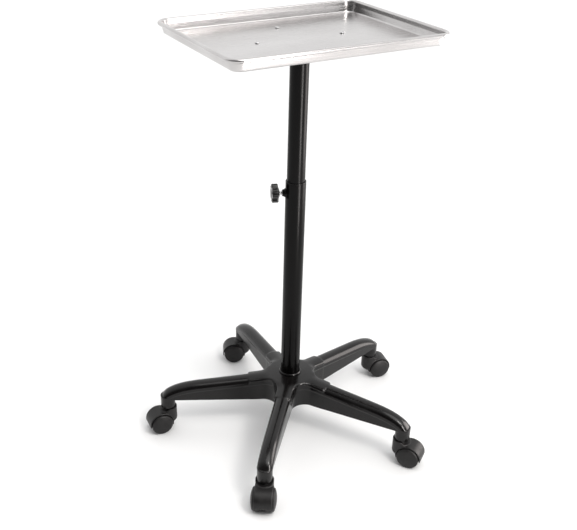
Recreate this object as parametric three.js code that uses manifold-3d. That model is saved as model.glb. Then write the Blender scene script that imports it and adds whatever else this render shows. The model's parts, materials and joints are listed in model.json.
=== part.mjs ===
// Instrument cart: an aluminium tray on a telescopic mast, carried by a five-arm star base
// with twin-wheel casters. Millimetres, +Z up. The tray's long side runs along X.
// The origin is on the floor, at the centre of the cart's footprint.
import * as THREE from 'three';
import { mergeVertices } from 'three/addons/utils/BufferGeometryUtils.js';
import Module from 'manifold-3d';

// Driving dimensions
const MAST_OFFSET = new THREE.Vector3(-6.4, -16, 0); // mast axis, from the footprint's centre
const GAP = 0.3; // between touching pieces

const TRAY = {
  length: 457, width: 344, rimTop: 926.5, depth: 24.4, sheet: 1.2,
  cornerRadius: 29, beadRadius: 4.1, wireRadius: 2.6, wallInset: 11.2, bendRadius: 4.6,
  screwCircle: 92, screwHoleRadius: 2.8,
};
const BRACKET = {
  armLength: 106, armHalfWidth: 14, plate: 3, discRadius: 40, socketRadius: 22.4, socketDepth: 34,
};
const TUBE_SIDES = 24;
const UPPER_TUBE = { radius: 19.07, wall: 1.5, bottom: 334.5, top: 898.5 };
const LOWER_TUBE = { radius: 21.5, wall: 1.2, bottom: 80.8, top: 613.9 };
const BUSH = { bore: 19.35, sleeveRadius: 20, sleeveLength: 42, flange: 1.6 };
const CLAMP = {
  height: 589.5, azimuth: 160, boltRadius: 3.6, padRadius: 5.6, padHole: 6.5,
  bossEnd: 28.5, knobStart: 34.5, knobThickness: 17.5, knobRadius: 20, knobLobes: 7, hubRadius: 8.5,
};
const BASE = {
  casterCircle: 286.1, firstArm: -129.6, arms: 5,
  hubTop: 142, plateRadius: 98, pocketRadius: 69.5,
  coreRadius: 27, socketRadius: 21.85, hubFloor: 80.5,
  skirtBottom: 75.5, crestAtHub: 136.6, crestSlope: -0.0745, skirtSlope: 0.0493,
  armHalfWidth: 18, crestDepth: 17, webRadius: 31, webDistance: 85.5,
  bossRadius: 17, bossBottom: 60.7, stemBore: 6.1, stemBoreTop: 98.5, wall: 3.5, ribThickness: 3,
};
const CASTER = {
  wheelRadius: 25, trail: 22, wheelInner: 6.2, wheelShoulder: 22.4, wheelDome: 28.1,
  axleRadius: 3, axleHalfLength: 21.4, axleBore: 3.4,
  hoodRadius: 28.7, hoodClearance: 26, hoodEnd: -9.5, hoodHalfWidth: 20, webHalfThickness: 5.5,
  cupRadius: 19.8, cupBore: 17.9, cupRim: 61.4, cupFloor: 54.5, chin: 20,
  stemRadius: 5.5, pinRadius: 3.8, pinBottom: 30, pinTop: 45,
};
// Arm names in order round the base, with the way each caster trails at rest (degrees)
const CASTERS = [
  ['front', -123], ['right', -53.5], ['back_right', -11], ['back_left', 155.5], ['left', 176],
];

const wasm = await Module();
wasm.setup();

// Materials
const finish = (color, roughness, metalness) => () => (
  new THREE.MeshStandardMaterial({ color, roughness, metalness }));
const aluminium = finish(0xc4c6c8, 0.35, 1);
const zinc = finish(0xb9bcc0, 0.35, 1);
const blackPaint = finish(0x17161a, 0.38, 0.3);
const blackNylon = finish(0x1b1b1c, 0.42, 0);
const greyNylon = finish(0x2b2b2d, 0.55, 0);
const naturalNylon = finish(0xd9d6cc, 0.5, 0);

// Geometry helpers
const radians = THREE.MathUtils.degToRad;
const polar = (radius, angle) => new THREE.Vector2(radius * Math.cos(angle), radius * Math.sin(angle));

function closed(geometry) {
  // Position only, shared vertices merged, faces pointing out
  geometry.deleteAttribute('normal');
  geometry.deleteAttribute('uv');
  const merged = mergeVertices(geometry, 1e-4);
  const position = merged.getAttribute('position');
  const faces = [];
  let volume = 0;
  const corners = [0, 1, 2].map(() => new THREE.Vector3());
  for (let i = 0; i < merged.index.count; i += 3) {
    const [a, b, c] = [0, 1, 2].map((k) => merged.index.getX(i + k));
    if (a === b || b === c || c === a) continue;
    faces.push(a, b, c);
    [a, b, c].forEach((vertex, k) => corners[k].fromBufferAttribute(position, vertex));
    volume += corners[0].dot(corners[1].clone().cross(corners[2]));
  }
  if (volume < 0) {
    for (let i = 0; i < faces.length; i += 3) [faces[i], faces[i + 1]] = [faces[i + 1], faces[i]];
  }
  merged.setIndex(faces);
  return merged;
}

function solid(geometry) {
  const ready = closed(geometry);
  return new wasm.Manifold(new wasm.Mesh({
    numProp: 3,
    vertProperties: new Float32Array(ready.getAttribute('position').array),
    triVerts: new Uint32Array(ready.index.array),
  }));
}

function geometryOf(manifold) {
  const mesh = manifold.getMesh();
  const geometry = new THREE.BufferGeometry();
  geometry.setAttribute('position', new THREE.BufferAttribute(mesh.vertProperties, 3));
  geometry.setIndex(Array.from(mesh.triVerts));
  return geometry;
}

const union = (...solids) => solids.reduce((sum, next) => sum.add(next));

// A turned piece about Z: profile points are [radius, height]
function turned(profile, sides) {
  const points = profile.map(([radius, height]) => new THREE.Vector2(radius, height));
  return new THREE.LatheGeometry(points, sides).rotateX(Math.PI / 2);
}

// A ring or tube about Z between two radii and two heights
const tube = (inner, outer, bottom, top, sides) => turned(
  [[inner, bottom], [outer, bottom], [outer, top], [inner, top], [inner, bottom]], sides);

const rod = (radius, bottom, top, sides) => (
  turned([[0, bottom], [radius, bottom], [radius, top], [0, top]], sides));

// A flat outline lifted from one height to another
function plate(shape, bottom, top, curveSegments = 6) {
  return new THREE.ExtrudeGeometry(shape, { depth: top - bottom, bevelEnabled: false, curveSegments })
    .translate(0, 0, bottom);
}

const box = (sizeX, sizeY, sizeZ, x, y, z) => new THREE.BoxGeometry(sizeX, sizeY, sizeZ).translate(x, y, z);

// A closed skin through a list of rings that all have the same number of points
function loft(rings) {
  const count = rings[0].length;
  const vertices = rings.flat().flatMap((point) => [point.x, point.y, point.z]);
  const faces = [];
  for (let r = 0; r + 1 < rings.length; r += 1) {
    for (let i = 0; i < count; i += 1) {
      const next = (i + 1) % count;
      const [a, b, c, d] = [r * count + i, r * count + next, (r + 1) * count + next, (r + 1) * count + i];
      faces.push(a, b, c, a, c, d);
    }
  }
  const last = (rings.length - 1) * count;
  const flat = (ring) => {
    const [u, v] = endAxes(ring);
    return ring.map((point) => new THREE.Vector2(point.dot(u), point.dot(v)));
  };
  for (const [a, b, c] of THREE.ShapeUtils.triangulateShape(flat(rings[0]), [])) faces.push(c, b, a);
  for (const [a, b, c] of THREE.ShapeUtils.triangulateShape(flat(rings.at(-1)), [])) {
    faces.push(last + a, last + b, last + c);
  }
  const geometry = new THREE.BufferGeometry();
  geometry.setAttribute('position', new THREE.Float32BufferAttribute(vertices, 3));
  geometry.setIndex(faces);
  return geometry;
}

// Two directions in the plane of a flat ring, so that its end can be filled
function endAxes(ring) {
  const normal = new THREE.Vector3();
  ring.forEach((point, i) => normal.add(point.clone().cross(ring[(i + 1) % ring.length])));
  normal.normalize();
  const u = Math.abs(normal.z) > 0.9 ? new THREE.Vector3(1, 0, 0) : new THREE.Vector3(0, 0, 1);
  u.addScaledVector(normal, -u.dot(normal)).normalize();
  return [u, normal.clone().cross(u)];
}

function piece(name, shape, material) {
  const geometry = shape.isBufferGeometry ? closed(shape) : geometryOf(shape);
  const mesh = new THREE.Mesh(geometry, material());
  mesh.name = name;
  return mesh;
}

// Tray: a pan with a wired, rolled rim

// One rounded rectangle, inset from the rim's outer edge
function trayRing(inset, z) {
  const radius = TRAY.cornerRadius - inset;
  const halfLength = TRAY.length / 2 - TRAY.cornerRadius;
  const halfWidth = TRAY.width / 2 - TRAY.cornerRadius;
  const steps = 5;
  const ring = [];
  [[1, 1], [-1, 1], [-1, -1], [1, -1]].forEach(([sx, sy], corner) => {
    for (let i = 0; i <= steps; i += 1) {
      const at = polar(radius, (corner + i / steps) * Math.PI / 2);
      ring.push(new THREE.Vector3(sx * halfLength + at.x, sy * halfWidth + at.y, z));
    }
  });
  return ring;
}

const trayFloorTop = TRAY.rimTop - TRAY.depth + TRAY.sheet;
const trayUnderside = TRAY.rimTop - TRAY.depth;

// The four screw places: name, direction from the mast
const SCREW_PLACES = [['right', 0], ['back', 90], ['left', 180], ['front', 270]];

function trayPan() {
  const beadHeight = TRAY.rimTop - TRAY.beadRadius;
  const curlSteps = 7;
  const curlEnd = radians(300);
  const arc = (radius, k) => [
    TRAY.beadRadius + radius * Math.cos(k * curlEnd / curlSteps),
    beadHeight + radius * Math.sin(k * curlEnd / curlSteps),
  ];
  const steps = [...Array(curlSteps + 1).keys()];
  const bendIn = TRAY.wallInset + TRAY.bendRadius;
  const inside = [
    [bendIn + TRAY.sheet, trayFloorTop],
    [TRAY.wallInset + TRAY.sheet + 1.2, trayFloorTop + 1.2],
    [TRAY.wallInset + TRAY.sheet - 1, trayFloorTop + TRAY.bendRadius],
  ];
  const outside = [
    [TRAY.wallInset - 1.3, trayUnderside + TRAY.bendRadius],
    [TRAY.wallInset + 1.5, trayUnderside + 1.3],
    [bendIn, trayUnderside],
  ];
  const profile = [
    ...inside,
    ...steps.map((k) => arc(TRAY.beadRadius, k)),
    ...steps.map((k) => arc(TRAY.beadRadius - TRAY.sheet, curlSteps - k)),
    ...outside,
  ];
  let pan = solid(loft(profile.map(([inset, z]) => trayRing(inset, z))));
  for (const [, angle] of SCREW_PLACES) {
    const at = polar(TRAY.screwCircle, radians(angle));
    const hole = rod(TRAY.screwHoleRadius, trayUnderside - 2, trayFloorTop + 2, 12).translate(at.x, at.y, 0);
    pan = pan.subtract(solid(hole));
  }
  return piece('tray_pan', pan, aluminium);
}

function rimWire() {
  const sides = 8;
  const beadHeight = TRAY.rimTop - TRAY.beadRadius;
  const rings = [];
  for (let k = 0; k < sides; k += 1) {
    const at = polar(TRAY.wireRadius, (k / sides) * 2 * Math.PI);
    rings.push(trayRing(TRAY.beadRadius + at.x, beadHeight + at.y));
  }
  // The wire closes on itself, so its last ring joins its first and no end is filled
  const count = rings[0].length;
  const vertices = rings.flat().flatMap((point) => [point.x, point.y, point.z]);
  const faces = [];
  for (let r = 0; r < sides; r += 1) {
    for (let i = 0; i < count; i += 1) {
      const [next, above] = [(i + 1) % count, (r + 1) % sides];
      const [a, b, c, d] = [r * count + i, r * count + next, above * count + next, above * count + i];
      faces.push(a, b, c, a, c, d);
    }
  }
  const geometry = new THREE.BufferGeometry();
  geometry.setAttribute('position', new THREE.Float32BufferAttribute(vertices, 3));
  geometry.setIndex(faces);
  return piece('tray_rim_wire', geometry, zinc);
}

// Bracket under the pan: a cross of four arms, stiffened by gussets, on a socket for the mast
function trayBracket() {
  const top = trayUnderside - GAP;
  const bottom = top - BRACKET.plate;
  const arm = () => {
    const outline = new THREE.Shape();
    const straight = BRACKET.armLength - BRACKET.armHalfWidth;
    outline.moveTo(0, -BRACKET.armHalfWidth);
    outline.lineTo(straight, -BRACKET.armHalfWidth);
    outline.absarc(straight, 0, BRACKET.armHalfWidth, -Math.PI / 2, Math.PI / 2, false);
    outline.lineTo(0, BRACKET.armHalfWidth);
    return plate(outline, bottom, top, 8);
  };
  const gusset = () => {
    const outline = new THREE.Shape();
    outline.moveTo(BRACKET.socketRadius - 1.5, 0);
    outline.lineTo(BRACKET.socketRadius - 1.5, -24);
    outline.lineTo(78, -3);
    outline.lineTo(78, 0);
    return new THREE.ExtrudeGeometry(outline, { depth: 3, bevelEnabled: false })
      .rotateX(Math.PI / 2).translate(0, 1.5, bottom + 0.5);
  };
  let bracket = union(
    solid(rod(BRACKET.discRadius, bottom, top, TUBE_SIDES)),
    solid(rod(BRACKET.socketRadius, bottom - BRACKET.socketDepth, bottom + 1, TUBE_SIDES)),
  );
  for (const [, angle] of SCREW_PLACES) {
    bracket = union(bracket, solid(arm().rotateZ(radians(angle))), solid(gusset().rotateZ(radians(angle))));
  }
  bracket = bracket.subtract(solid(rod(UPPER_TUBE.radius + GAP, 0, bottom, TUBE_SIDES)));
  bracket = bracket.subtract(solid(rod(5, 0, top + 1, 12)));
  const setScrewHole = solid(rod(3.3, 0, BRACKET.socketRadius + 2, 12).rotateX(-Math.PI / 2)
    .rotateZ(radians(45)).translate(0, 0, setScrewHeight));
  bracket = bracket.subtract(setScrewHole);
  for (const [, angle] of SCREW_PLACES) {
    const at = polar(TRAY.screwCircle, radians(angle));
    bracket = bracket.subtract(solid(rod(TRAY.screwHoleRadius, 0, top + 1, 12).translate(at.x, at.y, 0)));
  }
  return piece('tray_bracket', bracket, blackPaint);
}

const bracketPlateBottom = trayUnderside - GAP - BRACKET.plate;
const setScrewHeight = bracketPlateBottom - BRACKET.socketDepth / 2;

// Hex outline across its corners
function hexagon(radius) {
  return new THREE.Shape([...Array(6).keys()].map((k) => polar(radius, k * Math.PI / 3)));
}

function bracketSetScrew() {
  const screw = union(
    solid(rod(3, UPPER_TUBE.radius + GAP, BRACKET.socketRadius + 1, 10)),
    solid(plate(hexagon(5.6), BRACKET.socketRadius + GAP, BRACKET.socketRadius + 4.3)),
  );
  const mesh = piece('bracket_set_screw', screw, zinc);
  mesh.rotation.set(-Math.PI / 2, 0, 0);
  const turn = new THREE.Group();
  turn.rotation.z = radians(45);
  turn.position.z = setScrewHeight;
  turn.add(mesh);
  return turn;
}

function trayFasteners() {
  const group = new THREE.Group();
  const headBottom = trayFloorTop + 0.15;
  const nutTop = bracketPlateBottom - 0.15;
  for (const [name, angle] of SCREW_PLACES) {
    const at = polar(TRAY.screwCircle, radians(angle));
    const screw = piece(`tray_screw_${name}`, turned([
      [0, nutTop - 6.5], [2.5, nutTop - 6.5], [2.5, headBottom], [4.4, headBottom],
      [4.4, headBottom + 0.9], [3.3, headBottom + 2.1], [0, headBottom + 2.6],
    ], 10), zinc);
    const ring = hexagon(4.62);
    ring.holes.push(new THREE.Path([...Array(10).keys()].map((k) => polar(2.8, k * Math.PI / 5))));
    const nut = piece(`tray_nut_${name}`, plate(ring, nutTop - 4, nutTop), zinc);
    for (const mesh of [screw, nut]) {
      mesh.position.set(at.x, at.y, 0);
      group.add(mesh);
    }
  }
  return group;
}

// Mast: two telescoping tubes, the bush between them and the glide at the inner tube's foot
function mast() {
  const group = new THREE.Group();
  const tubeBore = LOWER_TUBE.radius - LOWER_TUBE.wall;
  const upperBore = UPPER_TUBE.radius - UPPER_TUBE.wall;

  group.add(piece('upper_tube',
    tube(upperBore, UPPER_TUBE.radius, UPPER_TUBE.bottom, UPPER_TUBE.top, TUBE_SIDES), blackPaint));

  const glideBottom = UPPER_TUBE.bottom - 14;
  group.add(piece('glide_plug', turned([
    [0, glideBottom], [19.4, glideBottom], [19.4, glideBottom + 3.6], [16.6, glideBottom + 3.6],
    [16.6, UPPER_TUBE.bottom + 20], [0, UPPER_TUBE.bottom + 20],
  ], TUBE_SIDES), naturalNylon));

  const slit = radians(6);
  const ringOutline = new THREE.Shape();
  ringOutline.absarc(0, 0, 19.75, slit, 2 * Math.PI - slit, false);
  ringOutline.absarc(0, 0, 17, 2 * Math.PI - slit, slit, true);
  const ring = plate(ringOutline, glideBottom + 4, UPPER_TUBE.bottom - 0.4, 12);
  group.add(piece('glide_ring', ring, naturalNylon));

  const clampHole = (radius) => solid(rod(radius, 5, 40, 16).rotateY(Math.PI / 2)
    .rotateZ(radians(CLAMP.azimuth)).translate(0, 0, CLAMP.height));
  const outer = solid(tube(tubeBore, LOWER_TUBE.radius, LOWER_TUBE.bottom, LOWER_TUBE.top, TUBE_SIDES));
  group.add(piece('lower_tube', outer.subtract(clampHole(CLAMP.padHole)), blackPaint));

  const flangeBottom = LOWER_TUBE.top + 0.15;
  const bush = solid(turned([
    [BUSH.bore, flangeBottom - BUSH.sleeveLength], [BUSH.sleeveRadius, flangeBottom - BUSH.sleeveLength],
    [BUSH.sleeveRadius, flangeBottom], [LOWER_TUBE.radius, flangeBottom],
    [LOWER_TUBE.radius - 0.4, flangeBottom + BUSH.flange], [BUSH.bore, flangeBottom + BUSH.flange],
    [BUSH.bore, flangeBottom - BUSH.sleeveLength],
  ], TUBE_SIDES));
  group.add(piece('guide_bush', bush.subtract(clampHole(CLAMP.padHole)), blackNylon));
  return group;
}

// Clamp: a threaded boss on the lower tube, the knob's bolt, and the pad that grips the upper tube
// Each is drawn about +Z and laid on the clamp's axis, with Z as the distance from the mast.
function clamp() {
  const boss = solid(turned([
    [CLAMP.boltRadius + GAP, CLAMP.bossEnd - 2.5], [CLAMP.boltRadius + GAP, CLAMP.bossEnd],
    [6.3, CLAMP.bossEnd], [6.9, CLAMP.bossEnd - 1], [7.3, CLAMP.bossEnd - 3.5],
    [9.8, CLAMP.bossEnd - 7], [9.8, LOWER_TUBE.radius - 3], [CLAMP.padHole, LOWER_TUBE.radius - 3],
    [CLAMP.padHole, CLAMP.bossEnd - 2.5], [CLAMP.boltRadius + GAP, CLAMP.bossEnd - 2.5],
  ], 20));
  const tubeCut = solid(rod(LOWER_TUBE.radius + GAP, -40, 40, TUBE_SIDES).rotateY(Math.PI / 2));

  const padInner = UPPER_TUBE.radius + GAP;
  const pad = rod(CLAMP.padRadius, padInner, padInner + 2.6, 14);

  const boltEnd = CLAMP.knobStart + CLAMP.knobThickness - 4;
  const bolt = turned([
    [0, padInner + 2.8], [CLAMP.boltRadius - 0.6, padInner + 2.8], [CLAMP.boltRadius, padInner + 3.4],
    [CLAMP.boltRadius, boltEnd], [0, boltEnd],
  ], 12);

  const lobed = new THREE.Shape();
  const points = CLAMP.knobLobes * 4;
  for (let k = 0; k < points; k += 1) {
    const angle = (k / points) * 2 * Math.PI;
    const radius = CLAMP.knobRadius - 2.1 + 2.1 * Math.cos(CLAMP.knobLobes * angle);
    const at = polar(radius, angle);
    if (k === 0) lobed.moveTo(at.x, at.y);
    else lobed.lineTo(at.x, at.y);
  }
  const knobEnd = CLAMP.knobStart + CLAMP.knobThickness;
  const knob = union(
    solid(plate(lobed, CLAMP.knobStart + 2.5, knobEnd - 1)),
    solid(rod(CLAMP.hubRadius, CLAMP.knobStart, knobEnd, 16)),
  ).subtract(solid(rod(CLAMP.boltRadius + GAP, 0, boltEnd + GAP, 12)));

  const group = new THREE.Group();
  group.add(
    piece('clamp_boss', boss.subtract(tubeCut), blackPaint),
    piece('clamp_pad', pad, naturalNylon),
    piece('clamp_bolt', bolt, zinc),
    piece('clamp_knob', knob, blackNylon),
  );
  group.rotation.set(0, Math.PI / 2, 0);
  const turn = new THREE.Group();
  turn.rotation.z = radians(CLAMP.azimuth);
  turn.position.z = CLAMP.height;
  turn.add(group);
  return turn;
}

// Star base

const crestHeight = (radius) => {
  // A straight, gently falling ridge that rounds down over the caster boss
  const ridge = BASE.crestAtHub + BASE.crestSlope * (radius - 66);
  const start = 205;
  const end = BASE.casterCircle + BASE.bossRadius;
  if (radius <= start) return ridge;
  const t = (radius - start) / (end - start);
  return ridge - 37 * (1 - Math.sqrt(Math.max(0, 1 - t ** 2.6)));
};
const skirtHeight = (radius) => BASE.skirtBottom + BASE.skirtSlope * Math.max(0, radius - 80);

// An arm's section: drafted sides under a rounded crest
function armSection(radius, halfWidth, crest, skirt, arcSteps) {
  const section = [new THREE.Vector3(radius, -halfWidth, skirt)];
  const shoulder = Math.max(crest - BASE.crestDepth, skirt + 1);
  for (let k = 0; k <= arcSteps; k += 1) {
    const at = polar(1, Math.PI * (1 - k / arcSteps));
    section.push(new THREE.Vector3(radius, (halfWidth - 1) * at.x, shoulder + (crest - shoulder) * at.y));
  }
  section.push(new THREE.Vector3(radius, halfWidth, skirt));
  return section;
}

function armWidth(radius) {
  const past = radius - BASE.casterCircle;
  if (past <= 0) return BASE.armHalfWidth + (BASE.bossRadius - BASE.armHalfWidth) * radius / BASE.casterCircle;
  return Math.sqrt(BASE.bossRadius ** 2 - past ** 2);
}

function armOuter() {
  const stations = [10, 80, 205, 232, 252, 268, 279, BASE.casterCircle, 293, 298.5, 302];
  return solid(loft(stations.map((radius) => armSection(
    radius, armWidth(radius), crestHeight(radius), skirtHeight(radius), 6))));
}

// The hollow under an arm, left open below, between two distances from the mast
function armHollow(from, to) {
  const stations = [from, (from + to) / 2, to];
  return solid(loft(stations.map((radius) => armSection(
    radius, armWidth(radius) - BASE.wall, crestHeight(radius) - BASE.wall, skirtHeight(radius) - 8, 4))));
}

// The gap between two arms: a round inner end, and straight sides that run outwards
function webGap(radius, angle) {
  const turn = Math.PI / BASE.arms;
  const shape = new THREE.Shape();
  const reach = polar(60, turn);
  const side = polar(radius, Math.PI / 2 + turn);
  shape.absarc(BASE.webDistance, 0, radius, Math.PI / 2 + turn, 1.5 * Math.PI - turn, false);
  shape.lineTo(BASE.webDistance + side.x + reach.x, -side.y - reach.y);
  shape.lineTo(BASE.webDistance + side.x + reach.x, side.y + reach.y);
  return solid(plate(shape, 0, 200, 9).rotateZ(angle));
}

function starBase() {
  const { arms, casterCircle, bossRadius, bossBottom, ribThickness, wall } = BASE;
  const step = 360 / arms;
  const armAngles = [...Array(arms).keys()].map((k) => BASE.firstArm + k * step);
  const above = 200; // past every top face
  const scoops = (shape, radius) => armAngles.reduce(
    (rest, angle) => rest.subtract(webGap(radius, radians(angle + step / 2))), shape);

  // Hub: a low domed plate, scooped between the arms, that ends in a short step on each arm
  let base = scoops(solid(turned([
    [0, BASE.skirtBottom], [80, BASE.skirtBottom], [BASE.plateRadius, skirtHeight(BASE.plateRadius)],
    [BASE.plateRadius, 130], [BASE.plateRadius - 4, 135.2], [70, 137.6], [52, 139.9], [26, BASE.hubTop],
    [0, BASE.hubTop],
  ], 40)), BASE.webRadius);

  // Arms and the bosses that hold the casters
  const outerArm = armOuter().add(solid(
    rod(bossRadius, bossBottom, skirtHeight(casterCircle) + 1.5, 16).translate(casterCircle, 0, 0)));
  for (const angle of armAngles) base = base.add(outerArm.rotate([0, 0, angle]));

  // Hollow underneath, with ribs left standing across the arms and the hub
  let pocket = scoops(solid(tube(BASE.coreRadius, BASE.pocketRadius, 0, 131.5, 20)), BASE.webRadius + wall);
  for (const angle of armAngles) {
    const rib = box(BASE.pocketRadius, ribThickness, above, BASE.pocketRadius / 2, 0, above / 2);
    pocket = pocket.subtract(solid(rib.rotateZ(radians(angle + step / 2))));
  }
  base = base.subtract(pocket);
  const ribPlaces = [120, 191];
  const bays = [
    [46, ribPlaces[0]], [ribPlaces[0] + ribThickness, ribPlaces[1]], [ribPlaces[1] + ribThickness, 261],
  ];
  for (const [from, to] of bays) {
    const hollow = armHollow(from, to);
    for (const angle of armAngles) base = base.subtract(hollow.rotate([0, 0, angle]));
  }

  // Socket for the mast, its bolt hole, and a blind bore for each caster stem
  base = base.subtract(solid(rod(BASE.socketRadius, BASE.hubFloor, above, TUBE_SIDES)));
  base = base.subtract(solid(rod(4.6, 0, above, 12)));
  const stemBore = solid(rod(BASE.stemBore, 0, BASE.stemBoreTop, 10).translate(casterCircle, 0, 0));
  for (const angle of armAngles) base = base.subtract(stemBore.rotate([0, 0, angle]));
  return piece('star_base', base, blackNylon);
}

// What holds the mast in the hub: a trim collar above, a plug, washer and bolt below
function mastFoot() {
  const group = new THREE.Group();
  const collarBottom = BASE.hubTop + 0.2;
  group.add(piece('mast_collar', turned([
    [LOWER_TUBE.radius + GAP, collarBottom], [25.6, collarBottom], [25.6, collarBottom + 2.4],
    [24.2, collarBottom + 4.6], [LOWER_TUBE.radius + GAP, collarBottom + 4.6],
    [LOWER_TUBE.radius + GAP, collarBottom],
  ], TUBE_SIDES), blackNylon));
  const plugRadius = LOWER_TUBE.radius - LOWER_TUBE.wall - GAP;
  group.add(piece('foot_plug',
    tube(4.4, plugRadius, LOWER_TUBE.bottom + 0.4, LOWER_TUBE.bottom + 14, TUBE_SIDES), zinc));
  const washerTop = BASE.skirtBottom - 0.2;
  group.add(piece('mast_washer', tube(4.6, 14, washerTop - 2, washerTop, 14), zinc));
  const headTop = washerTop - 2.2;
  const bolt = union(
    solid(plate(hexagon(7.5), headTop - 5.3, headTop)),
    solid(rod(4, headTop - 1, LOWER_TUBE.bottom + 18, 12)),
  );
  group.add(piece('mast_bolt', bolt, zinc));
  return group;
}

// Twin-wheel caster, drawn about its swivel axis with +X the way it trails

// A round bar along Y between two distances from the middle
const crossBar = (radius, from, to, sides) => rod(radius, from, to, sides).rotateX(-Math.PI / 2);

function casterHood() {
  const { trail, wheelRadius, hoodRadius } = CASTER;
  const side = new THREE.Shape();
  side.absarc(trail, wheelRadius, hoodRadius, radians(CASTER.hoodEnd), radians(106), false);
  side.lineTo(-4, 50);
  side.lineTo(-4, 30);
  side.lineTo(14, 18);
  const width = 2 * CASTER.hoodHalfWidth;
  const fender = solid(new THREE.ExtrudeGeometry(side, { depth: width, bevelEnabled: false, curveSegments: 9 })
    .rotateX(Math.PI / 2).translate(0, width / 2, 0));
  const cup = solid(turned([
    [0, CASTER.chin], [13.5, CASTER.chin], [18, CASTER.chin + 3.5], [CASTER.cupRadius, CASTER.chin + 10],
    [CASTER.cupRadius, CASTER.cupRim], [0, CASTER.cupRim],
  ], 18));
  // The cup's rim steps down behind, where the fender's back begins
  const step = solid(box(30, 60, 20, 21, 0, CASTER.cupFloor + 10));
  let hood = cup.subtract(step).add(fender);
  for (const way of [1, -1]) {
    const well = crossBar(CASTER.hoodClearance, CASTER.webHalfThickness, 40, 20);
    if (way < 0) well.rotateZ(Math.PI);
    hood = hood.subtract(solid(well.translate(trail, 0, wheelRadius)));
  }
  hood = hood.subtract(solid(rod(CASTER.cupBore, CASTER.cupFloor, 80, 18)));
  hood = hood.subtract(solid(rod(CASTER.stemRadius + GAP, CASTER.pinTop - GAP, 80, 16)));
  hood = hood.subtract(solid(rod(CASTER.pinRadius + GAP, CASTER.pinBottom - GAP, 80, 16)));
  return hood.subtract(solid(crossBar(CASTER.axleBore, -10, 10, 8).translate(trail, 0, wheelRadius)));
}

function casterWheel() {
  const { wheelRadius, wheelInner, wheelShoulder, wheelDome, axleBore, axleHalfLength } = CASTER;
  return turned([
    [0, axleHalfLength + 0.6], [axleBore, axleHalfLength + 0.6], [axleBore, wheelInner],
    [wheelRadius, wheelInner], [wheelRadius, wheelShoulder], [wheelRadius - 1, wheelShoulder + 1.2],
    [14, wheelDome - 1.1], [0, wheelDome],
  ], 16).rotateX(-Math.PI / 2);
}

function caster(name, armAngle, heading) {
  const group = new THREE.Group();
  const at = polar(BASE.casterCircle, radians(armAngle));
  group.position.set(at.x, at.y, 0);
  group.rotation.z = radians(heading);

  const { stemRadius, pinRadius, pinBottom, pinTop } = CASTER;
  const ringBottom = 88.5;
  const collarBottom = CASTER.cupFloor + 0.6;
  const collarTop = BASE.bossBottom - 0.4;
  group.add(piece(`caster_${name}_stem`, turned([
    [0, pinBottom], [pinRadius, pinBottom], [pinRadius, pinTop], [stemRadius, pinTop],
    [stemRadius, collarBottom], [8.5, collarBottom], [8.5, collarTop], [stemRadius, collarTop],
    [stemRadius, ringBottom], [4.4, ringBottom], [4.4, ringBottom + 4.4], [stemRadius, ringBottom + 4.4],
    [4, ringBottom + 8.5], [0, ringBottom + 8.5],
  ], 8), zinc));

  const gap = radians(20);
  const grip = new THREE.Shape();
  grip.absarc(0, 0, 5.75, gap, 2 * Math.PI - gap, false);
  grip.absarc(0, 0, 4.7, 2 * Math.PI - gap, gap, true);
  group.add(piece(`caster_${name}_grip_ring`, plate(grip, ringBottom + 0.3, ringBottom + 4.1, 5), zinc));

  group.add(piece(`caster_${name}_hood`, casterHood(), greyNylon));
  const axle = piece(`caster_${name}_axle`,
    crossBar(CASTER.axleRadius, -CASTER.axleHalfLength, CASTER.axleHalfLength, 8), zinc);
  const left = piece(`caster_${name}_wheel_left`, casterWheel(), greyNylon);
  const right = piece(`caster_${name}_wheel_right`, casterWheel(), greyNylon);
  right.rotation.z = Math.PI;
  for (const mesh of [axle, left, right]) {
    mesh.position.set(CASTER.trail, 0, CASTER.wheelRadius);
    group.add(mesh);
  }
  return group;
}

const cart = new THREE.Group();
cart.position.copy(MAST_OFFSET);
cart.add(trayPan(), rimWire(), trayBracket(), bracketSetScrew(), trayFasteners());
cart.add(mast(), clamp(), starBase(), mastFoot());
CASTERS.forEach(([name, heading], k) => cart.add(caster(name, BASE.firstArm + k * 360 / BASE.arms, heading)));
export default cart;
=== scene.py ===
import json
import math
import bmesh
import bpy
import numpy as np
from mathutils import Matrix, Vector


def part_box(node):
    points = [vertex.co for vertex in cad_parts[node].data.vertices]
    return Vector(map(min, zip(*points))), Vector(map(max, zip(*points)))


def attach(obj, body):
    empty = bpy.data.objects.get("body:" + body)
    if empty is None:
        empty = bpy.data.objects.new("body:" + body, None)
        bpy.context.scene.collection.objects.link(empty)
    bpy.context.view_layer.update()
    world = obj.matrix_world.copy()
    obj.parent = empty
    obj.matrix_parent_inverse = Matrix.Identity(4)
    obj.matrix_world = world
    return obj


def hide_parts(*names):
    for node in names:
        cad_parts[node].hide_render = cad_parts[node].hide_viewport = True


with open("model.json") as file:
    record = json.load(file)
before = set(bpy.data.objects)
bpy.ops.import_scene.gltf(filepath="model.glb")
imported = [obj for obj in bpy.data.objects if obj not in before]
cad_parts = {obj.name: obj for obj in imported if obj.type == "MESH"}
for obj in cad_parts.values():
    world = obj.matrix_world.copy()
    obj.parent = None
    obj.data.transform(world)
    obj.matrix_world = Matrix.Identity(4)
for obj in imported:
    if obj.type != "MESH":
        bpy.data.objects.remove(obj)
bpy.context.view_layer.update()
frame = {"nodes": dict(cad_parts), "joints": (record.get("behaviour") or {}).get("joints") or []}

import openvdb
from mathutils import Matrix, Vector

# Instrument cart: tray on a telescopic mast, star base, five twin-wheel casters.
# Everything is in metres, in the frame's own axes: +Z up, X along the tray.

joints = {joint["name"]: joint for joint in frame["joints"]}
casterNames = ["front", "right", "back_right", "back_left", "left"]
screwNames = ["right", "back", "left", "front"]


def middle(node):
    low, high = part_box(node)
    return (low + high) / 2


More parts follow.
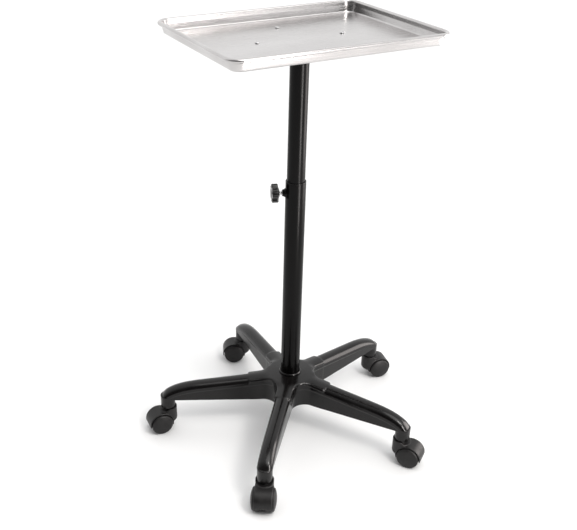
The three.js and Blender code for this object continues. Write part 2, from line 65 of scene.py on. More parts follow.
mastAxis = Vector((*middle("lower_tube").xy, 0.0))
print("frame loaded,", len(frame["nodes"]), "parts")


# Camera

cameraSetup = dict(
    offset=(-0.8292, -1.4141, 1.2879),  # from the foot of the mast's axis
    turn=-27.71,  # degrees, about Z
    tilt=59.93,  # degrees up from straight down
    roll=0.454,
    lens=53.31,
    shift=(0.0533, 0.0546),
)


def makeCamera(setup):
    data = bpy.data.cameras.new("camera")
    data.lens = setup["lens"]
    data.shift_x, data.shift_y = setup["shift"]
    data.clip_start = 0.05
    data.clip_end = 50
    camera = bpy.data.objects.new("camera", data)
    camera.matrix_world = (
        Matrix.Translation(mastAxis + Vector(setup["offset"]))
        @ Matrix.Rotation(math.radians(setup["turn"]), 4, "Z")
        @ Matrix.Rotation(math.radians(setup["tilt"]), 4, "X")
        @ Matrix.Rotation(math.radians(setup["roll"]), 4, "Z")
    )
    bpy.context.scene.collection.objects.link(camera)
    bpy.context.scene.camera = camera


makeCamera(cameraSetup)


# Tools for meshes

def newObject(name, mesh, material, place=None):
    piece = bpy.data.objects.new(name, mesh)
    if place is not None:
        piece.matrix_world = place
    if not mesh.materials:
        mesh.materials.append(material)
    bpy.context.scene.collection.objects.link(piece)
    return piece


def finishMesh(name, work, sharpAngle=35):
    # Faces out, smooth shading, with crisp edges kept where the surface really turns
    bmesh.ops.recalc_face_normals(work, faces=work.faces)
    limit = math.radians(sharpAngle)
    for face in work.faces:
        face.smooth = True
    for edge in work.edges:
        edge.smooth = len(edge.link_faces) == 2 and edge.calc_face_angle(0) < limit
    mesh = bpy.data.meshes.new(name)
    work.to_mesh(mesh)
    work.free()
    return mesh


def filleted(corners, steps=5):
    # Corners are (across, up, radius); each radius becomes a short curve between its two sides
    points = []
    for i, (x, y, radius) in enumerate(corners):
        here = Vector((x, y))
        if radius == 0 or i in (0, len(corners) - 1):
            points.append(here)
            continue
        before = Vector(corners[i - 1][:2]) - here
        after = Vector(corners[i + 1][:2]) - here
        reach = min(radius / math.tan(before.angle(after) / 2), 0.49 * before.length, 0.49 * after.length)
        start = here + before.normalized() * reach
        end = here + after.normalized() * reach
        for k in range(steps + 1):
            t = k / steps
            points.append(start * (1 - t) ** 2 + here * 2 * t * (1 - t) + end * t ** 2)
    return points


def skinRings(name, rings, closedRound=False, capFirst=False, capLast=False, sharpAngle=35):
    # Each ring is a list of points, or one point where the shape closes to a tip
    work = bmesh.new()
    loops = [[work.verts.new(point) for point in ring] for ring in rings]
    pairs = list(zip(loops, loops[1:]))
    if closedRound:
        pairs.append((loops[-1], loops[0]))
    for first, second in pairs:
        count = max(len(first), len(second))
        for i in range(count):
            j = (i + 1) % count
            corners = [
                first[i % len(first)], first[j % len(first)],
                second[j % len(second)], second[i % len(second)],
            ]
            unique = list(dict.fromkeys(corners))
            if len(unique) > 2:
                work.faces.new(unique)
    if capFirst:
        work.faces.new(loops[0])
    if capLast:
        work.faces.new(loops[-1])
    return finishMesh(name, work, sharpAngle)


def lathed(name, profile, sides=96, axis="Z", sharpAngle=35):
    # Profile points are (radius, height); it starts and ends on the axis, or closes on itself
    isLoop = (Vector(profile[0]) - Vector(profile[-1])).length < 1e-7
    points = profile[:-1] if isLoop else profile
    rings = []
    for radius, height in points:
        if radius < 1e-6:
            rings.append([Vector((0, 0, height))])
            continue
        angles = [2 * math.pi * k / sides for k in range(sides)]
        rings.append([Vector((radius * math.cos(a), radius * math.sin(a), height)) for a in angles])
    mesh = skinRings(name, rings, closedRound=isLoop, sharpAngle=sharpAngle)
    if axis == "Y":
        mesh.transform(Matrix.Rotation(-math.pi / 2, 4, "X"))
    return mesh


def smoothMin(a, b, reach):
    h = np.maximum(reach - np.abs(a - b), 0.0) / reach
    return np.minimum(a, b) - h * h * reach / 4


def smoothMax(a, b, reach):
    return -smoothMin(-a, -b, reach)


def smoothStep(value, low, high):
    t = np.clip((value - low) / (high - low), 0.0, 1.0)
    return t * t * (3 - 2 * t)


def moulded(name, shape, low, high, cell):
    # shape(x, y, z) is below zero inside the piece. Its surface is meshed on a grid of that cell,
    # and every point is then settled onto the surface itself, so the skin comes out smooth.
    axes = [np.arange(start, end + cell, cell) for start, end in zip(low, high)]
    flatX, flatY = np.meshgrid(axes[0], axes[1], indexing="ij")
    values = np.stack([shape(flatX, flatY, z) for z in axes[2]], axis=2)
    grid = openvdb.FloatGrid(background=1.0)
    grid.copyFromArray(values.astype(np.float32))
    points, quads = grid.convertToQuads(0.0)
    points = points * cell + np.array(low)
    probe = cell * 0.05
    for _ in range(3):
        x, y, z = points.T
        value = shape(x, y, z)
        slope = np.stack([
            shape(x + probe, y, z) - shape(x - probe, y, z),
            shape(x, y + probe, z) - shape(x, y - probe, z),
            shape(x, y, z + probe) - shape(x, y, z - probe),
        ], axis=1) / (2 * probe)
        steepness = np.maximum((slope ** 2).sum(axis=1), 0.2)
        move = slope * (value / steepness)[:, None]
        points = points - np.clip(move, -cell / 2, cell / 2)
    mesh = bpy.data.meshes.new(name)
    mesh.from_pydata(points.tolist(), [], quads.tolist())
    work = bmesh.new()
    work.from_mesh(mesh)
    bpy.data.meshes.remove(mesh)
    return finishMesh(name, work, 180)


# Tools for materials

class Finish:
    # A node material with one Principled shader; masks and bumps are added to it
    def __init__(self, name, color, roughness, metallic=0.0, specular=0.5, coat=0.0, coatRoughness=0.1):
        self.material = bpy.data.materials.new(name)
        self.material.use_nodes = True
        self.material.diffuse_color = (*color, 1)
        self.tree = self.material.node_tree
        self.shader = self.tree.nodes["Principled BSDF"]
        self.shader.inputs["Base Color"].default_value = (*color, 1)
        self.shader.inputs["Roughness"].default_value = roughness
        self.shader.inputs["Metallic"].default_value = metallic
        self.shader.inputs["Specular IOR Level"].default_value = specular
        self.shader.inputs["Coat Weight"].default_value = coat
        self.shader.inputs["Coat Roughness"].default_value = coatRoughness
        self.place = self.node("ShaderNodeTexCoord").outputs["Object"]
        self.lastBump = None

    def node(self, kind, **settings):
        node = self.tree.nodes.new(kind)
        for key, value in settings.items():
            setattr(node, key, value)
        return node

    def join(self, source, target):
        self.tree.links.new(source, target)

    def stretched(self, stretch):
        mapping = self.node("ShaderNodeMapping")
        mapping.inputs["Scale"].default_value = stretch
        self.join(self.place, mapping.inputs["Vector"])
        return mapping.outputs["Vector"]

    def noise(self, scale, detail=3.0, rough=0.5, stretch=(1, 1, 1)):
        noise = self.node("ShaderNodeTexNoise")
        noise.inputs["Scale"].default_value = scale
        noise.inputs["Detail"].default_value = detail
        noise.inputs["Roughness"].default_value = rough
        self.join(self.stretched(stretch), noise.inputs["Vector"])
        return noise.outputs["Fac"]

    def between(self, value, fromLow, fromHigh, toLow, toHigh):
        spread = self.node("ShaderNodeMapRange")
        ends = {"From Min": fromLow, "From Max": fromHigh, "To Min": toLow, "To Max": toHigh}
        for key, number in ends.items():
            spread.inputs[key].default_value = number
        self.join(value, spread.inputs["Value"])
        return spread.outputs["Result"]

    def roughness(self, value, low, high):
        self.join(self.between(value, 0.3, 0.7, low, high), self.shader.inputs["Roughness"])

    def tint(self, value, first, second, low=0.35, high=0.65):
        ramp = self.node("ShaderNodeValToRGB")
        ramp.color_ramp.elements[0].position = low
        ramp.color_ramp.elements[0].color = (*first, 1)
        ramp.color_ramp.elements[1].position = high
        ramp.color_ramp.elements[1].color = (*second, 1)
        self.join(value, ramp.inputs["Fac"])
        self.join(ramp.outputs["Color"], self.shader.inputs["Base Color"])
        return ramp.outputs["Color"]

    def bump(self, value, strength, distance):
        bump = self.node("ShaderNodeBump")
        bump.inputs["Strength"].default_value = strength
        bump.inputs["Distance"].default_value = distance
        self.join(value, bump.inputs["Height"])
        if self.lastBump is not None:
            self.join(self.lastBump, bump.inputs["Normal"])
        self.lastBump = bump.outputs["Normal"]
        self.join(self.lastBump, self.shader.inputs["Normal"])


def makeTrayAluminium():
    finish = Finish("trayAluminium", (0.54, 0.525, 0.52), 0.3, metallic=1.0)
    grain = finish.noise(900, 4, 0.6, stretch=(0.02, 1, 1))  # rolled grain along the sheet
    cloud = finish.noise(9, 3, 0.55, stretch=(0.4, 1, 1))
    finish.tint(cloud, (0.50, 0.485, 0.482), (0.575, 0.563, 0.56))
    finish.roughness(grain, 0.20, 0.30)
    finish.bump(finish.noise(5, 2, 0.5), 0.12, 0.003)  # the slow waves of thin sheet
    finish.bump(grain, 0.05, 0.0003)
    return finish.material


def makeZinc():
    finish = Finish("zincPlate", (0.66, 0.66, 0.67), 0.3, metallic=1.0)
    cloud = finish.noise(160, 4, 0.6)
    finish.tint(cloud, (0.56, 0.56, 0.55), (0.74, 0.74, 0.76))
    finish.roughness(cloud, 0.2, 0.36)
    finish.bump(finish.noise(2500, 2, 0.5), 0.1, 0.0002)
    return finish.material


def makeBlackPaint():
    finish = Finish("blackPaint", (0.0016, 0.0013, 0.0013), 0.24, specular=0.12)
    cloud = finish.noise(22, 4, 0.6, stretch=(1, 1, 0.25))
    finish.tint(cloud, (0.0012, 0.0010, 0.0010), (0.0028, 0.0023, 0.0023))
    finish.roughness(cloud, 0.20, 0.27)
    finish.bump(finish.noise(620, 2, 0.5), 0.05, 0.0004)  # powder coat's orange peel
    return finish.material


def makeBlackNylon():
    finish = Finish("blackNylon", (0.005, 0.0045, 0.0045), 0.22, specular=0.32)
    cloud = finish.noise(14, 4, 0.6)
    finish.tint(cloud, (0.0030, 0.0025, 0.0025), (0.006, 0.0053, 0.0053))
    finish.roughness(cloud, 0.15, 0.24)
    finish.bump(finish.noise(10, 2, 0.5), 0.12, 0.003)  # sink and flow of the moulding
    finish.bump(finish.noise(1900, 2, 0.5), 0.08, 0.0003)
    return finish.material


def makeKnobPlastic():
    finish = Finish("knobPlastic", (0.004, 0.0036, 0.0036), 0.14, specular=0.5, coat=0.3, coatRoughness=0.08)
    cloud = finish.noise(70, 3, 0.5)
    finish.tint(cloud, (0.003, 0.0027, 0.0027), (0.006, 0.0054, 0.0054))
    finish.roughness(cloud, 0.10, 0.19)
    finish.bump(finish.noise(160, 2, 0.5), 0.1, 0.0006)
    return finish.material


def makeCasterNylon():
    finish = Finish("casterNylon", (0.010, 0.0093, 0.0094), 0.42, specular=0.3)
    cloud = finish.noise(60, 4, 0.6)
    finish.tint(cloud, (0.008, 0.0074, 0.0075), (0.014, 0.013, 0.013))
    finish.roughness(cloud, 0.36, 0.5)
    finish.bump(finish.noise(2400, 2, 0.5), 0.12, 0.0003)
    return finish.material


def makeNaturalNylon():
    finish = Finish("naturalNylon", (0.72, 0.70, 0.63), 0.5)
    cloud = finish.noise(80, 3, 0.5)
    finish.tint(cloud, (0.66, 0.64, 0.57), (0.76, 0.74, 0.67))
    finish.roughness(cloud, 0.42, 0.56)
    finish.bump(finish.noise(1800, 2, 0.5), 0.1, 0.0003)
    return finish.material


trayAluminium = makeTrayAluminium()
zincPlate = makeZinc()
blackPaint = makeBlackPaint()
blackNylon = makeBlackNylon()
knobPlastic = makeKnobPlastic()
casterNylon = makeCasterNylon()
naturalNylon = makeNaturalNylon()
print("finishes made")


def settle(piece, body, slot, *nodes):
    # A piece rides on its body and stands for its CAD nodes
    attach(piece, body)
    if nodes:
        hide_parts(*nodes)
    return piece


# Tray pan: thin sheet with a wired, rolled rim

pan = dict(
    cornerRadius=0.029,
    sheet=0.0012,
    bead=0.0041,  # outer radius of the rolled rim
    curl=300,  # degrees of roll
    wallFoot=0.0126,  # inside face of the wall at the floor, in from the rim
    bend=0.005,
    wallLean=0.0009, wallTurn=0.006,  # where the wall meets the roll: how far in, and the curve's reach
    flatStart=0.012,  # the flat of the floor starts this far in from the wall
    cornerSteps=14, curlSteps=26,
)


def panRing(box, inset, z):
    low, high = box
    radius = pan["cornerRadius"] - inset
    centres = [(high.x, high.y), (low.x, high.y), (low.x, low.y), (high.x, low.y)]
    signs = [(-1, -1), (1, -1), (1, 1), (-1, 1)]
    steps = pan["cornerSteps"]
    ring = []
    for corner, ((x, y), (sx, sy)) in enumerate(zip(centres, signs)):
        cx = x + sx * pan["cornerRadius"]
        cy = y + sy * pan["cornerRadius"]
        for k in range(steps + 1):
            angle = math.pi / 2 * (corner + k / steps)
            ring.append(Vector((cx + radius * math.cos(angle), cy + radius * math.sin(angle), z)))
    return ring


def makeTrayPan():
    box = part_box("tray_pan")
    top = box[1].z
    under = box[0].z
    floor = under + pan["sheet"]
    sheet = pan["sheet"]
    bead = pan["bead"]
    beadHeight = top - bead
    curlSteps = pan["curlSteps"]
    lean = pan["wallLean"]
    turn = pan["wallTurn"]

    def arc(radius, k):
        angle = math.radians(pan["curl"]) * k / curlSteps
        return Vector((bead + radius * math.cos(angle), beadHeight + radius * math.sin(angle)))

    foot = pan["wallFoot"]
    inside = filleted([
        (foot + pan["flatStart"], floor, 0),
        (foot, floor, pan["bend"] - sheet),
        (2 * bead + lean, beadHeight - turn, turn),
        (2 * bead, beadHeight, 0),
    ], 7)
    outside = filleted([
        (2 * bead - sheet, beadHeight, 0),
        (2 * bead + lean - sheet, beadHeight - turn, turn),
        (foot - sheet - 0.0002, under, pan["bend"]),
        (foot + pan["flatStart"], under, 0),
    ], 7)
    profile = inside[:-1]
    profile += [arc(bead, k) for k in range(curlSteps + 1)]
    profile += [arc(bead - sheet, k) for k in range(curlSteps, 0, -1)]
    profile += outside
    rings = [panRing(box, inset, z) for inset, z in profile]
    mesh = skinRings("trayPan", rings, capFirst=True, capLast=True, sharpAngle=50)
    tray = newObject("trayPan", mesh, trayAluminium)
    return settle(tray, "tray_head", "tray_aluminium", "tray_pan")


def makeRimWire():
    # The wire shows only at the open lip of the roll, from below
    frame["nodes"]["tray_rim_wire"].data.materials[0] = zincPlate


makeTrayPan()
makeRimWire()


# Screws and nuts of the tray

screw = dict(
    headRadius=0.0044, headRise=0.0026, headEdge=0.0008,
    recess=0.0021, recessWidth=0.0007,
    shankRadius=0.0025, shankMiddle=0.00515, shankHalf=0.00615,
    nutRadius=0.0046, nutBore=0.0028,
    headCell=0.00022, nutCell=0.00025,
)


def makeTrayScrews():
    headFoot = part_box("tray_screw_right")[1].z - screw["headRise"]
    half = screw["headRadius"]

    def headShape(x, y, z):
        r = np.hypot(x, y)
        edge = screw["headEdge"]
        dome = np.hypot(r / half, np.maximum(z - edge, 0) / (screw["headRise"] - edge)) - 1
        head = smoothMax(dome * 0.002, r - half, 0.0006)
        head = smoothMax(head, -z, 0.0003)
        along = np.abs(z + screw["shankMiddle"]) - screw["shankHalf"]
        shank = smoothMax(r - screw["shankRadius"], along, 0.0006)
        cross = np.minimum(
            np.maximum(np.abs(x) - screw["recessWidth"], np.abs(y) - screw["recess"]),
            np.maximum(np.abs(y) - screw["recessWidth"], np.abs(x) - screw["recess"]))
        cross = np.maximum(cross, 0.0011 + r * 0.35 - z)
        return smoothMax(smoothMin(head, shank, 0.0003), -cross, 0.0002)

    reach = half + 0.0006
    lowCorner = (-reach, -reach, -0.0118)
    highCorner = (reach, reach, 0.0032)
    mesh = moulded("trayScrew", headShape, lowCorner, highCorner, screw["headCell"])
    for k, name in enumerate(screwNames):
        node = "tray_screw_" + name
        turn = Matrix.Rotation(0.4 + 1.1 * k, 4, "Z")  # no two driven home alike
        place = Matrix.Translation((*middle(node).xy, headFoot)) @ turn
        piece = newObject("trayScrew_" + name, mesh, zincPlate, place)
        settle(piece, "tray_head", "zinc_steel", node)


def makeTrayNuts():
    low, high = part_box("tray_nut_right")
    thick = high.z - low.z

    def nutShape(x, y, z):
        r = np.hypot(x, y)
        hexagon = -1.0
        for k in range(3):
            angle = math.pi / 3 * k + math.pi / 6
            hexagon = np.maximum(hexagon, np.abs(x * math.cos(angle) + y * math.sin(angle)))
        body = smoothMax(hexagon - 0.866 * screw["nutRadius"], np.abs(z - thick / 2) - thick / 2, 0.0003)
        chamfer = (r - screw["nutRadius"] + 0.0004) * 0.5 + np.abs(z - thick / 2) * 0.87 - thick / 2 * 0.87
        return smoothMax(smoothMax(body, chamfer, 0.0002), screw["nutBore"] - r, 0.0002)

    reach = screw["nutRadius"] + 0.0006
    lowCorner = (-reach, -reach, -0.0005)
    highCorner = (reach, reach, thick + 0.0005)
    mesh = moulded("trayNut", nutShape, lowCorner, highCorner, screw["nutCell"])
    for k, name in enumerate(screwNames):
        node = "tray_nut_" + name
        place = Matrix.Translation((*middle(node).xy, low.z)) @ Matrix.Rotation(0.3 * k, 4, "Z")
        piece = newObject("trayNut_" + name, mesh, zincPlate, place)
        settle(piece, "tray_head", "zinc_steel", node)


makeTrayScrews()
makeTrayNuts()
print("tray made")


# Bracket under the tray

bracket = dict(
    armHalfWidth=0.014, plate=0.003, disc=0.040, socket=0.0224,
    gussetReach=0.078, gussetDrop=0.024,  # how far out each gusset runs, and how far down
    gussetHalf=0.0015, mastHole=0.005, screwHole=0.0028, setScrewHole=0.0033,
    cell=0.0011,
)


def makeTrayBracket():
    low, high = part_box("tray_bracket")
    centre = (low + high) / 2
    top = high.z - low.z
    arm = (high.x - low.x) / 2
    plateBottom = top - bracket["plate"]
    half = bracket["armHalfWidth"]
    bore = middle("upper_tube").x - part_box("upper_tube")[0].x + 0.0003
    screwHole = middle("tray_screw_right").x - centre.x
    setScrewZ = middle("bracket_set_screw").z - low.z

    def bracketShape(x, y, z):
        r = np.hypot(x, y)
        longWay = np.maximum(np.abs(x), np.abs(y))
        crossWay = np.minimum(np.abs(x), np.abs(y))
        arms = np.hypot(np.maximum(longWay - (arm - half), 0), crossWay) - half
        outline = smoothMin(arms, r - bracket["disc"], 0.012)
        plate = smoothMax(outline, np.abs(z - top + bracket["plate"] / 2) - bracket["plate"] / 2, 0.0012)
        socket = smoothMax(r - bracket["socket"], -z, 0.0015)
        socket = np.maximum(socket, z - plateBottom - 0.001)
        slope = bracket["gussetDrop"] / (bracket["gussetReach"] - bracket["socket"])
        gussetFoot = plateBottom - np.maximum(bracket["gussetReach"] - longWay, 0) * slope
        gusset = smoothMax(crossWay - bracket["gussetHalf"], (gussetFoot - z) * 0.9, 0.001)
        gusset = np.maximum(gusset, z - plateBottom - 0.001)
        gusset = np.maximum(gusset, bracket["socket"] - 0.002 - longWay)
        gusset = np.maximum(gusset, longWay - bracket["gussetReach"])
        shape = smoothMin(smoothMin(plate, socket, 0.0035), gusset, 0.003)
        shape = smoothMax(shape, -np.maximum(r - bore, z - plateBottom), 0.001)
        shape = smoothMax(shape, bracket["mastHole"] - r, 0.0006)
        shape = smoothMax(shape, bracket["screwHole"] - np.hypot(longWay - screwHole, crossWay), 0.0006)
        diagonal = (x + y) / math.sqrt(2)
        offAxis = np.hypot((x - y) / math.sqrt(2), z - setScrewZ)
        return smoothMax(shape, -np.maximum(offAxis - bracket["setScrewHole"], -diagonal), 0.0006)

    reach = arm + 0.002
    lowCorner = (-reach, -reach, -0.002)
    highCorner = (reach, reach, top + 0.002)
    mesh = moulded("trayBracket", bracketShape, lowCorner, highCorner, bracket["cell"])
    place = Matrix.Translation((centre.x, centre.y, low.z))
    settle(newObject("trayBracket", mesh, blackPaint, place), "tray_head", "black_paint", "tray_bracket")


makeTrayBracket()
frame["nodes"]["bracket_set_screw"].data.materials[0] = zincPlate
print("bracket made")


# Mast

mast = dict(
    lip=0.0006,
    upperWall=0.0015, lowerWall=0.0012,
    bushBore=0.01935, bushSleeve=0.02, bushFlange=0.0016,
    collarTaper=0.0016,
)


def tubeProfile(inner, outer, bottom, top, lip):
    corners = [
        (inner, (bottom + top) / 2, 0),
        (inner, bottom, lip),
        (outer, bottom, lip),
        (outer, top, lip),
        (inner, top, lip),
        (inner, (bottom + top) / 2, 0),
    ]
    return [tuple(point) for point in filleted(corners, 4)]


def makeMast():
    place = Matrix.Translation(mastAxis)
    tubes = [
        ("upperTube", "upper_tube", "tray_head", mast["upperWall"]),
        ("lowerTube", "lower_tube", "base", mast["lowerWall"]),
    ]
    for name, node, body, wall in tubes:
        low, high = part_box(node)
        outer = (high.x - low.x) / 2
        mesh = lathed(name, tubeProfile(outer - wall, outer, low.z, high.z, mast["lip"]), 128)
        settle(newObject(name, mesh, blackPaint, place), body, "black_paint", node)

    low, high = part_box("guide_bush")
    outer = (high.x - low.x) / 2
    flangeFoot = high.z - mast["bushFlange"]
    bore = mast["bushBore"]
    sleeve = mast["bushSleeve"]
    profile = filleted([
        (bore, low.z + 0.01, 0), (bore, low.z, 0.0003),
        (sleeve, low.z, 0.0003), (sleeve, flangeFoot, 0.0002),
        (outer, flangeFoot, 0.0003), (outer - 0.0001, high.z, 0.0009), (bore, high.z, 0.0006),
        (bore, low.z + 0.01, 0),
    ], 4)
    mesh = lathed("guideBush", [tuple(point) for point in profile], 128)
    settle(newObject("guideBush", mesh, blackNylon, place), "base", "black_nylon", "guide_bush")

    low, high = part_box("mast_collar")
    outer = (high.x - low.x) / 2
    inner = (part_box("lower_tube")[1].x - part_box("lower_tube")[0].x) / 2 + 0.0003
    profile = filleted([
        (inner, low.z + 0.002, 0), (inner, low.z, 0), (outer, low.z, 0.0003),
        (outer, low.z + 0.0026, 0.0012), (outer - mast["collarTaper"], high.z, 0.0012),
        (inner, high.z, 0.0004), (inner, low.z + 0.002, 0),
    ], 5)
    mesh = lathed("mastCollar", [tuple(point) for point in profile], 128)
    settle(newObject("mastCollar", mesh, blackNylon, place), "base", "black_nylon", "mast_collar")


makeMast()
for inner in ["glide_plug", "glide_ring", "clamp_pad"]:
    frame["nodes"][inner].data.materials[0] = naturalNylon
for inner in ["foot_plug", "mast_washer", "mast_bolt"]:
    frame["nodes"][inner].data.materials[0] = zincPlate
print("mast made")


# Clamp: trumpet boss, threaded bolt, lobed knob. Each is made about +X, outwards from the mast.

clamp = dict(
    knobRadius=0.020, lobes=7, lobeDepth=0.0034, knobRound=0.0026,
    knobHub=0.0085, knobCell=0.0005,
    boltRadius=0.0036, boltHole=0.0039, boltSides=40, pitch=0.00125, thread=0.0004,
)
clampOut = Vector(joints["clamp_turn"]["axis"]).normalized()
clampPlace = (
    Matrix.Translation((mastAxis.x, mastAxis.y, joints["clamp_turn"]["pos_m"][2]))
    @ Matrix.Rotation(math.atan2(clampOut.y, clampOut.x), 4, "Z")
)


def outward(node):
    # How far from the mast's axis a node on the clamp begins and ends
    corners = [vertex.co - mastAxis for vertex in frame["nodes"][node].data.vertices]
    reach = [corner.xy.dot(clampOut.xy) for corner in corners]
    return min(reach), max(reach)


def makeClamp():
    bossEnd = outward("clamp_boss")[1]
    boltStart, boltEnd = outward("clamp_bolt")
    knobStart, knobEnd = outward("clamp_knob")
    tubeRadius = (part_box("lower_tube")[1].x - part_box("lower_tube")[0].x) / 2

    profile = filleted([
        (0.0066, tubeRadius - 0.0022, 0), (0.0104, tubeRadius - 0.0022, 0),
        (0.0100, tubeRadius - 0.0002, 0.001),
        (0.0076, bossEnd - 0.0032, 0.004), (0.0069, bossEnd - 0.0006, 0), (0.0063, bossEnd, 0.0006),
        (0.0039, bossEnd, 0.0004), (0.0039, bossEnd - 0.0025, 0), (0.0066, bossEnd - 0.0025, 0),
        (0.0066, tubeRadius - 0.0022, 0),
    ], 6)
    mesh = lathed("clampBoss", [tuple(point) for point in profile], 72)
    mesh.transform(Matrix.Rotation(math.pi / 2, 4, "Y"))
    settle(newObject("clampBoss", mesh, blackPaint, clampPlace), "base", "black_paint", "clamp_boss")

    sides = clamp["boltSides"]
    rings = [[Vector((boltStart, 0, 0))]]
    count = int((boltEnd - boltStart) / (clamp["pitch"] / 8))
    for k in range(count + 1):
        along = boltStart + (boltEnd - boltStart) * k / count
        ring = []
        for s in range(sides):
            turn = s / sides
            crest = abs(((along / clamp["pitch"] - turn) % 1) - 0.5) * 2
            lead = min(1, (along - boltStart) / 0.001)
            radius = clamp["boltRadius"] - clamp["thread"] * (1 - crest * lead)
            angle = 2 * math.pi * turn
            ring.append(Vector((along, radius * math.cos(angle), radius * math.sin(angle))))
        rings.append(ring)
    rings.append([Vector((boltEnd, 0, 0))])
    mesh = skinRings("clampBolt", rings, sharpAngle=60)
    settle(newObject("clampBolt", mesh, zincPlate, clampPlace), "knob", "zinc_steel", "clamp_bolt")

    thick = knobEnd - knobStart

    def knobShape(x, y, z):
        r = np.hypot(y, z)
        wave = 0.5 + 0.5 * np.cos(clamp["lobes"] * np.arctan2(z, y))
        rim = clamp["knobRadius"] - clamp["lobeDepth"] * 1.6 * (1 - wave) ** 1.3
        half = thick / 2 - 0.0018 + 0.0010 * smoothStep(-r, -0.017, -0.006)
        faces = np.abs(x - knobStart - thick / 2 - 0.0008) - half
        body = smoothMax((r - rim) * 0.85, faces, clamp["knobRound"])
        hub = smoothMax(r - clamp["knobHub"], np.abs(x - knobStart - thick / 2) - thick / 2, 0.0018)
        whole = smoothMin(body, hub, 0.003)
        hole = np.maximum(r - clamp["boltHole"], x - boltEnd - 0.0003)
        return smoothMax(whole, -hole, 0.0006)

    reach = clamp["knobRadius"] + 0.0015
    lowCorner = (knobStart - 0.001, -reach, -reach)
    highCorner = (knobEnd + 0.0015, reach, reach)
    mesh = moulded("clampKnob", knobShape, lowCorner, highCorner, clamp["knobCell"])
    settle(newObject("clampKnob", mesh, knobPlastic, clampPlace), "knob", "black_nylon", "clamp_knob")


makeClamp()
print("clamp made")


# Star base

base = dict(
    arms=5,
    crest=0.1366, crestSlope=-0.0745,  # ridge height 66 mm out, and its fall
    bowFrom=0.205, bowDrop=0.037,  # where the arm starts to round down, and by how much
    skirt=0.0755, skirtSlope=0.0493,
    armHalfWidth=0.018, capDepth=0.017,
    hubEdge=0.098, webRadius=0.031, webReach=0.0855,
    hubFall=[(0, 0), (0.026, 0), (0.052, 0.0021), (0.070, 0.0044), (0.094, 0.0068), (0.110, 0.0090)],
    hubCrown=9.0, crownFrom=0.048, crownTo=0.066,  # the hub plate falls to both sides of each arm
    boss=0.017, wall=0.0035, core=0.027,
    rib=0.003, innerRib=0.1215, outerRib=0.1925,
    mastBore=0.02185, boltHole=0.0046, stemBore=0.0061,
    lip=0.0009, endLip=0.0055, webLip=0.0018,
    cell=0.0015,
)


